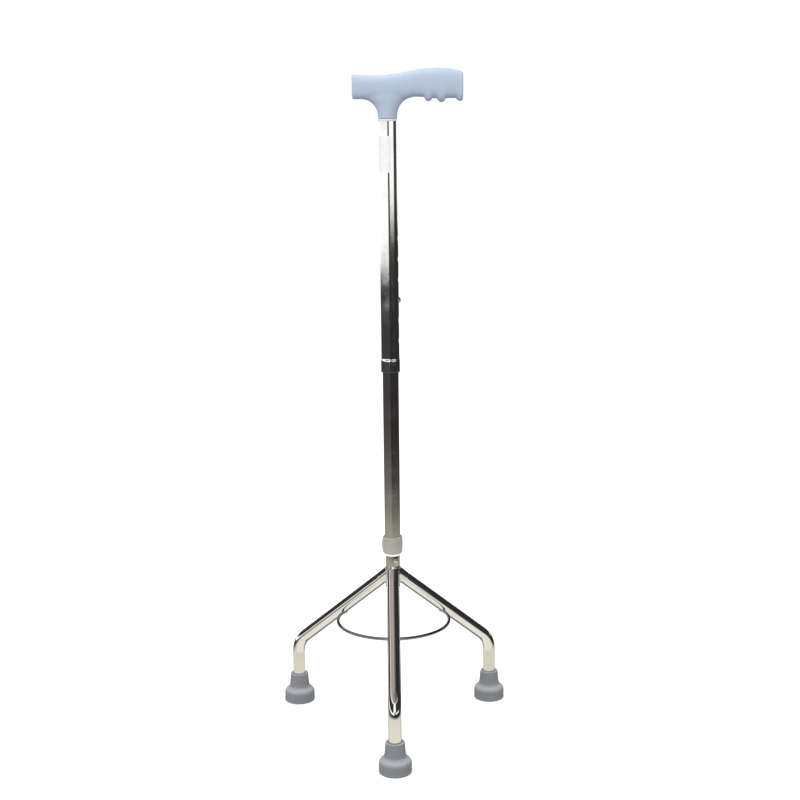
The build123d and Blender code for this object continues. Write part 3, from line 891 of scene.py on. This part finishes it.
for node, body, slot, material in (
    ("mouth_bush", "upper", "nylon", bushGrey),
    ("tube_screw", "upper", "steel", steelPlain),
    ("stem_end_plug", "base", "plug_plastic", plugBlack),
):
    finish(smoothCopy(node, node + "Skin"), material, body, slot, node)
print("kept nodes finished")


floorSize = 30.0
corners = np.array([(-1, -1, 0), (1, -1, 0), (1, 1, 0), (-1, 1, 0)]) * floorSize
floorMesh = bpy.data.meshes.new("floor")
floorMesh.from_pydata(corners.tolist(), [], [(0, 1, 2, 3)])
floor = bpy.data.objects.new("floor", floorMesh)
bpy.context.collection.objects.link(floor)
paperGlow = {"Emission_Color": (1, 1, 1, 1), "Emission_Strength": 0.16}
floorMesh.materials.append(newMaterial("paper", (0.97, 0.97, 0.97), 0.95, **paperGlow)[0])
floor.visible_glossy = False
floor.visible_diffuse = False


# what polish reflects by the sine of its height: near floor, far floor, pale wall, ceiling
studioStops = (
    (-1.0, (0.95, 0.94, 0.90)), (-0.43, (0.92, 0.90, 0.82)), (-0.36, (0.80, 0.77, 0.67)),
    (-0.30, (0.46, 0.44, 0.37)), (-0.279, (0.40, 0.39, 0.33)), (-0.257, (0.19, 0.185, 0.17)),
    (-0.217, (0.085, 0.082, 0.078)), (-0.18, (0.056, 0.052, 0.052)), (-0.10, (0.050, 0.052, 0.056)),
    (-0.088, (1.3, 1.3, 1.3)), (0.50, (1.3, 1.3, 1.3)), (0.60, (0.30, 0.27, 0.26)),
    (0.90, (0.22, 0.19, 0.185)), (1.0, (0.30, 0.27, 0.265)),
)

# spans are in turns about the shaft, in radians from the camera's side, or in the sine of the height
studioShape = {
    "lowScreen": (0.10, 0.16, 0.06), "tallScreen": (1.74, 0.46, 0.10),  # turn, half width, blur
    "lowScreenTop": (0.04, 0.10), "screenDark": 0.05,
    "wedgeTurn": (0.2, 0.3), "wedgeHeight": (-0.075, -0.04), "wedgeShare": 0.95,
    "nearFloor": (-0.30, -0.21),
    "blackBand": (0.265, 0.235, 0.012), "blackTurn": (0.26, 0.38), "blackShare": 0.97,
    "shadeTurn": (1.85, 2.2), "shadeHeight": (-0.50, -0.34), "shadeShare": 0.72,
    "ceilingTurn": (-0.7, 0.7), "ceilingGain": (0.9, -0.35), "ceilingHeight": (0.45, 0.6),
    "darkest": (0.030, 0.030, 0.033),
    "softHeight": (-0.12, 0.12), "softBelow": 0.42, "softAbove": 1.0,
    "softDepth": (-0.3, 0.7), "softFront": 1.08, "softBack": 0.78, "softStrength": 1.05,
}


def studio():
    # matt surfaces see soft white, strongest from above and in front; polished ones see pale walls, a dark
    # ceiling and far floor, and a paler near floor
    g = studioShape
    world = bpy.data.worlds.new("studio")
    bpy.context.scene.world = world
    world.use_nodes = True
    world.cycles.sampling_method = "NONE"
    tree = world.node_tree
    tree.nodes.clear()
    coords = add(tree, "ShaderNodeTexCoord")
    split = add(tree, "ShaderNodeSeparateXYZ")
    tree.links.new(coords.outputs["Generated"], split.inputs["Vector"])
    up = split.outputs["Z"]

    def maths(operation, first, second=None):
        made = add(tree, "ShaderNodeMath", operation=operation)
        for socket, value in zip(made.inputs, (first, second)):
            if isinstance(value, (int, float)):
                socket.default_value = value
            elif value is not None:
                tree.links.new(value, socket)
        return made.outputs[0]

    def blended(kind, first, second):
        made = add(tree, "ShaderNodeMix", data_type="RGBA", blend_type=kind)
        made.inputs["Factor"].default_value = 1.0
        tree.links.new(first, made.inputs["A"])
        if isinstance(second, tuple):
            made.inputs["B"].default_value = (*second, 1)
        else:
            tree.links.new(second, made.inputs["B"])
        return made.outputs["Result"]

    def within(value, centre, halfWidth, blur, inside, outside):
        distance = maths("ABSOLUTE", maths("SUBTRACT", value, centre))
        return ranged(tree, distance, halfWidth, halfWidth + blur, inside, outside)

    def darkened(value, first, second):
        # value (1 - first second)
        return maths("MULTIPLY", value, maths("SUBTRACT", 1, maths("MULTIPLY", first, second)))

    turn = maths("ARCTAN2", split.outputs["X"], maths("MULTIPLY", split.outputs["Y"], -1))
    around = maths("ABSOLUTE", turn)
    ramp = add(tree, "ShaderNodeValToRGB")
    tree.links.new(ranged(tree, up, -1, 1, 0, 1), ramp.inputs["Fac"])
    elements = ramp.color_ramp.elements
    elements[0].position, elements[-1].position = 0, 1
    for height, _ in studioStops[1:-1]:
        elements.new((height + 1) / 2)
    for element, (_, colour) in zip(sorted(elements, key=lambda e: e.position), studioStops):
        element.color = (*colour, 1)

    # two dark screens stand beside the camera and to the right; the first is low
    lowScreen = within(turn, *g["lowScreen"], g["screenDark"], 1)
    lowScreen = maths("MAXIMUM", lowScreen, ranged(tree, up, *g["lowScreenTop"], 0, 1))
    bands = maths("MULTIPLY", lowScreen, within(turn, *g["tallScreen"], g["screenDark"], 1))
    # the far floor climbs higher on the right, so the pale wall narrows to a wedge there
    wedge = ranged(tree, up, *g["wedgeHeight"], g["wedgeShare"], 0)
    bands = darkened(bands, ranged(tree, turn, *g["wedgeTurn"], 0, 1), wedge)
    bands = maths("MAXIMUM", bands, ranged(tree, up, *g["nearFloor"], 1, 0))  # the near floor shows no bands
    # the pale walls are low, apart from the camera's side, with black above them up to the ceiling
    black = ranged(tree, around, *g["blackTurn"], 0, g["blackShare"])
    bands = darkened(bands, within(up, *g["blackBand"], 1, 0), black)
    # the floor behind the object lies in grey shade
    behind = ranged(tree, around, *g["shadeTurn"], 0, g["shadeShare"])
    bands = darkened(bands, behind, ranged(tree, up, *g["shadeHeight"], 1, 0))
    # the ceiling is paler to the left
    lean = ranged(tree, turn, *g["ceilingTurn"], *g["ceilingGain"])
    lean = maths("MULTIPLY", lean, ranged(tree, up, *g["ceilingHeight"], 0, 1))
    bands = maths("MULTIPLY", bands, maths("ADD", 1, lean))
    seen = blended("LIGHTEN", blended("MULTIPLY", ramp.outputs["Color"], bands), g["darkest"])

    rays = add(tree, "ShaderNodeLightPath")
    polished = add(tree, "ShaderNodeBackground")
    tree.links.new(seen, polished.inputs["Color"])
    soft = add(tree, "ShaderNodeBackground")
    soft.inputs["Color"].default_value = (1, 1, 1, 1)
    above = ranged(tree, up, *g["softHeight"], g["softBelow"], g["softAbove"])
    front = ranged(tree, split.outputs["Y"], *g["softDepth"], g["softFront"], g["softBack"])
    glow = maths("MAXIMUM", maths("MULTIPLY", above, front), rays.outputs["Is Camera Ray"])
    tree.links.new(maths("MULTIPLY", glow, g["softStrength"]), soft.inputs["Strength"])
    pick = add(tree, "ShaderNodeMixShader")
    tree.links.new(rays.outputs["Is Glossy Ray"], pick.inputs["Fac"])
    tree.links.new(soft.outputs[0], pick.inputs[1])
    tree.links.new(polished.outputs[0], pick.inputs[2])
    output = add(tree, "ShaderNodeOutputWorld")
    tree.links.new(pick.outputs[0], output.inputs["Surface"])


def softbox(name, location, target, size, power):
    light = bpy.data.lights.new(name, "AREA")
    light.energy = power
    light.size = size
    lamp = bpy.data.objects.new(name, light)
    bpy.context.collection.objects.link(lamp)
    lamp.location = location
    lamp.rotation_euler = (Vector(target) - Vector(location)).to_track_quat("-Z", "Y").to_euler()
    lamp.visible_glossy = False


studio()
softboxes = {
    "keyLight": {"location": (-1.6, -1.9, 2.3), "target": (0, 0, 0.4), "size": 1.4, "power": 26},
    "topLight": {"location": (0.3, 0.4, 2.8), "target": (0, 0, 0.3), "size": 1.8, "power": 16},
}
for name, settings in softboxes.items():
    softbox(name, **settings)

view = {"distance": 1.681, "height": 0.744, "pitch": 10.83, "lens": 62.15, "aside": 0.0112, "roll": 0.62}
cameraData = bpy.data.cameras.new("camera")
cameraData.lens = view["lens"]
camera = bpy.data.objects.new("camera", cameraData)
bpy.context.collection.objects.link(camera)
camera.location = (shaft[0], shaft[1] - view["distance"], view["height"])
aim = Vector((view["aside"], view["distance"], -view["distance"] * math.tan(math.radians(view["pitch"]))))
camera.rotation_mode = "QUATERNION"
camera.rotation_quaternion = aim.to_track_quat("-Z", "Y")
camera.rotation_quaternion.rotate(Quaternion(aim.normalized(), math.radians(view["roll"])))
bpy.context.scene.camera = camera
bpy.context.scene.view_settings.view_transform = "Standard"
print("stage, lights and camera set")

bpy.context.view_layer.update()
